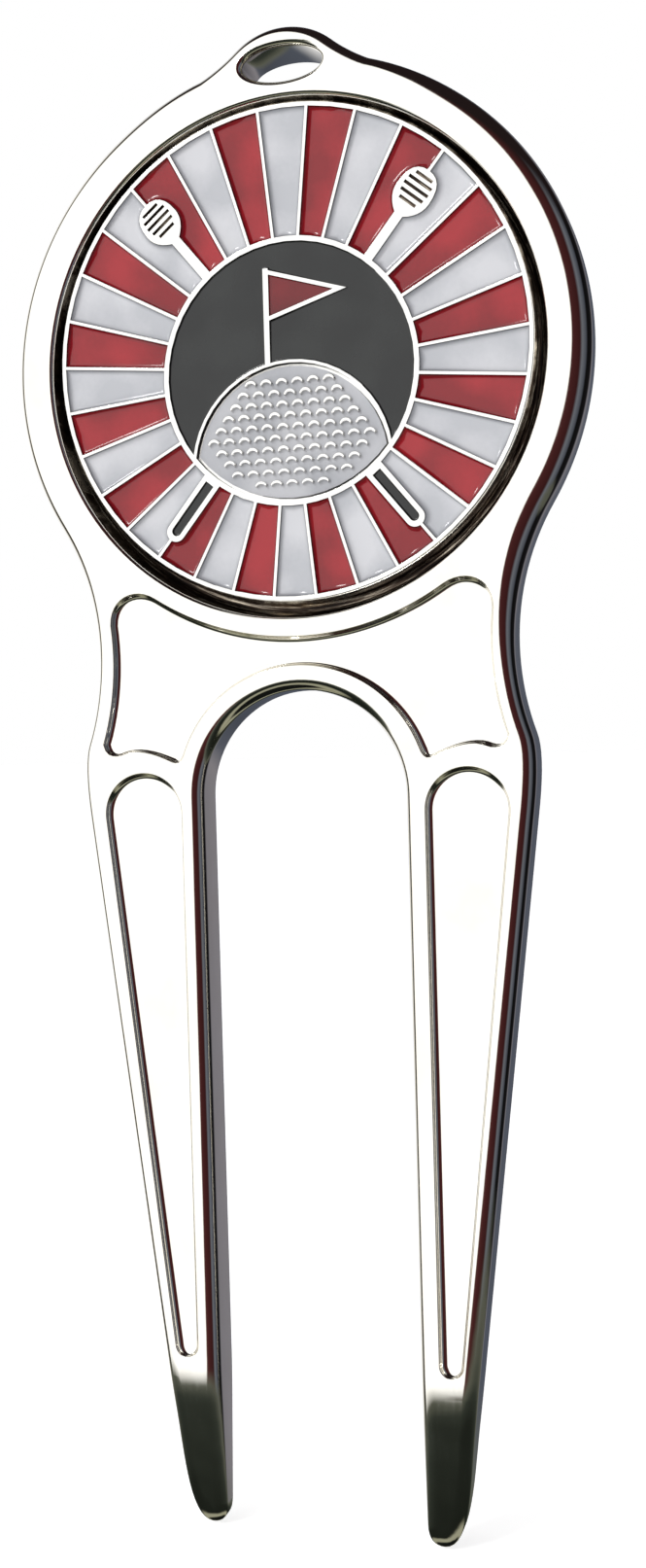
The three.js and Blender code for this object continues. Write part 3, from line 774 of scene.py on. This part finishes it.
# %% The room that the metal mirrors
world = bpy.data.worlds.new("studio")
bpy.context.scene.world = world
world.use_nodes = True
room = world.node_tree
room.nodes.clear()
direction = add_node(room, "ShaderNodeTexCoord").outputs["Generated"]
parts = add_node(room, "ShaderNodeSeparateXYZ", links={"Vector": direction})
to_front = add_node(room, "ShaderNodeMath", {"operation": "MULTIPLY", 1: -1.0}, {0: parts.outputs["Y"]})
bearing = add_node(room, "ShaderNodeMath", {"operation": "ARCTAN2"},
                   {0: parts.outputs["X"], 1: to_front.outputs["Value"]})
around = add_node(room, "ShaderNodeMapRange", {"From Min": -math.pi, "From Max": math.pi},
                  {"Value": bearing.outputs["Value"]})


def bearing_stop(degrees, colour):
    return (degrees / 360 + 0.5, colour)


WALLS = [bearing_stop(*stop) for stop in (
    (-180, "#3e424c"), (-158, "#454a55"), (-145, "#e4e4e6"), (-130, "#f4f4f4"),
    (-112, "#8a8880"), (-104, "#2a2521"), (-84, "#221c1a"),
    (0, "#4a2a2a"), (16, "#3c1d1e"), (46, "#301617"), (58, "#5c6069"), (80, "#40444e"),
    (92, "#0c0c0d"), (132, "#121214"), (146, "#55545b"), (163, "#75737a"), (169, "#4a4e59"),
    (180, "#3e424c"))]
walls = shades(room, around.outputs["Result"], WALLS)
height = add_node(room, "ShaderNodeMapRange", {"From Min": -1.0, "From Max": 1.0},
                  {"Value": parts.outputs["Z"]})
ground_share = shades(room, height.outputs["Result"], ((0.27, "#ffffff"), (0.30, "#000000")))
ground = shades(room, height.outputs["Result"], (
    (0.05, "#101210"), (0.07, "#8a8a78"), (0.11, "#8a8a78"), (0.14, "#171a16"), (0.2, "#1b1e1a"),
    (0.24, "#2b2f2a"), (0.28, "#56584f")))
sky_share = shades(room, height.outputs["Result"], ((0.80, "#000000"), (0.90, "#ffffff")))


def toward(bearing_degrees, rise_degrees):
    """The unit direction at a bearing from straight in front, positive to the right, and a rise."""
    bearing_, rise = math.radians(bearing_degrees), math.radians(rise_degrees)
    return (math.sin(bearing_) * math.cos(rise), -math.cos(bearing_) * math.cos(rise), math.sin(rise))


SHEET_BEARING, SHEET_RISE, SHEET_HALF_ANGLE, SHEET_SOFTNESS = -45, 12, 52, 0.03
facing = add_node(room, "ShaderNodeVectorMath",
                  {"operation": "DOT_PRODUCT", 1: toward(SHEET_BEARING, SHEET_RISE)},
                  {0: direction})
sheet_edge = math.cos(math.radians(SHEET_HALF_ANGLE))
sheet_share = add_node(room, "ShaderNodeMapRange",
                       {"From Min": sheet_edge - SHEET_SOFTNESS, "From Max": sheet_edge + SHEET_SOFTNESS},
                       {"Value": facing.outputs["Value"]})
with_sky = add_node(room, "ShaderNodeMix", {"data_type": "RGBA", COLOUR_B: linear("#1c1516")},
                    {"Factor": sky_share, COLOUR_A: walls})
with_sheet = add_node(room, "ShaderNodeMix", {"data_type": "RGBA", COLOUR_B: linear("#ffffff")},
                      {"Factor": sheet_share.outputs["Result"], COLOUR_A: with_sky.outputs[MIXED]})
with_ground = add_node(room, "ShaderNodeMix", {"data_type": "RGBA"},
                       {"Factor": ground_share, COLOUR_A: with_sheet.outputs[MIXED], COLOUR_B: ground})
mirrored_room = add_node(room, "ShaderNodeBackground", {"Strength": 1.4},
                         {"Color": with_ground.outputs[MIXED]})
backdrop = add_node(room, "ShaderNodeBackground", {"Color": linear("#ffffff"), "Strength": 1.0})
seen = add_node(room, "ShaderNodeLightPath").outputs["Is Camera Ray"]
chosen = add_node(room, "ShaderNodeMixShader", links={
    "Fac": seen, 1: mirrored_room.outputs["Background"], 2: backdrop.outputs["Background"]})
add_node(room, "ShaderNodeOutputWorld", links={"Surface": chosen.outputs["Shader"]})

# %% [markdown]
# ### The soft boxes
# Enamel isn't a mirror, so it needs light of its own: a small soft box high on the left, which
# leaves sharp glints on the hollow fills, and a larger, weaker one on the right.

# %% Two soft boxes
def soft_box(name, place, size, watts):
    bpy.ops.object.light_add(type="AREA", location=place)
    lamp = bpy.context.object
    lamp.name = name
    lamp.data.shape = "DISK"
    lamp.data.size = size
    lamp.data.energy = watts
    target = Vector((0, 0, -0.02))
    lamp.rotation_euler = (target - Vector(place)).to_track_quat("-Z", "Y").to_euler()
    return lamp


soft_box("key_soft_box", (-0.35, -0.5, 0.45), 0.16, 1.3)
fill_light = soft_box("fill_soft_box", (0.5, -0.6, 0.1), 0.4, 0.4)
fill_light.visible_glossy = False

# %% [markdown]
# ## The camera
# It stands a hand's width away, level with the top of the slot and a little to the right, so the
# right-hand walls of the head and of the left prong show.

# %% A close camera, a little to the right
CAMERA_PLACE = (0.024788, -0.081174, -0.033508)
CAMERA_TILT, CAMERA_ROLL, CAMERA_TURN = 88.3892, 1.5759, 16.428
bpy.ops.object.camera_add()
camera = bpy.context.object
camera.location = CAMERA_PLACE
camera.rotation_euler = [math.radians(angle) for angle in (CAMERA_TILT, CAMERA_ROLL, CAMERA_TURN)]
camera.data.sensor_width = 36
camera.data.lens = 38.24
camera.data.clip_start = 0.001
bpy.context.scene.camera = camera
bpy.context.scene.view_settings.view_transform = "Standard"

# %% [markdown]
# ## Sizes
# The visual model has to fill the same box as the CAD model.

# %% Nothing selected
deselect_all()
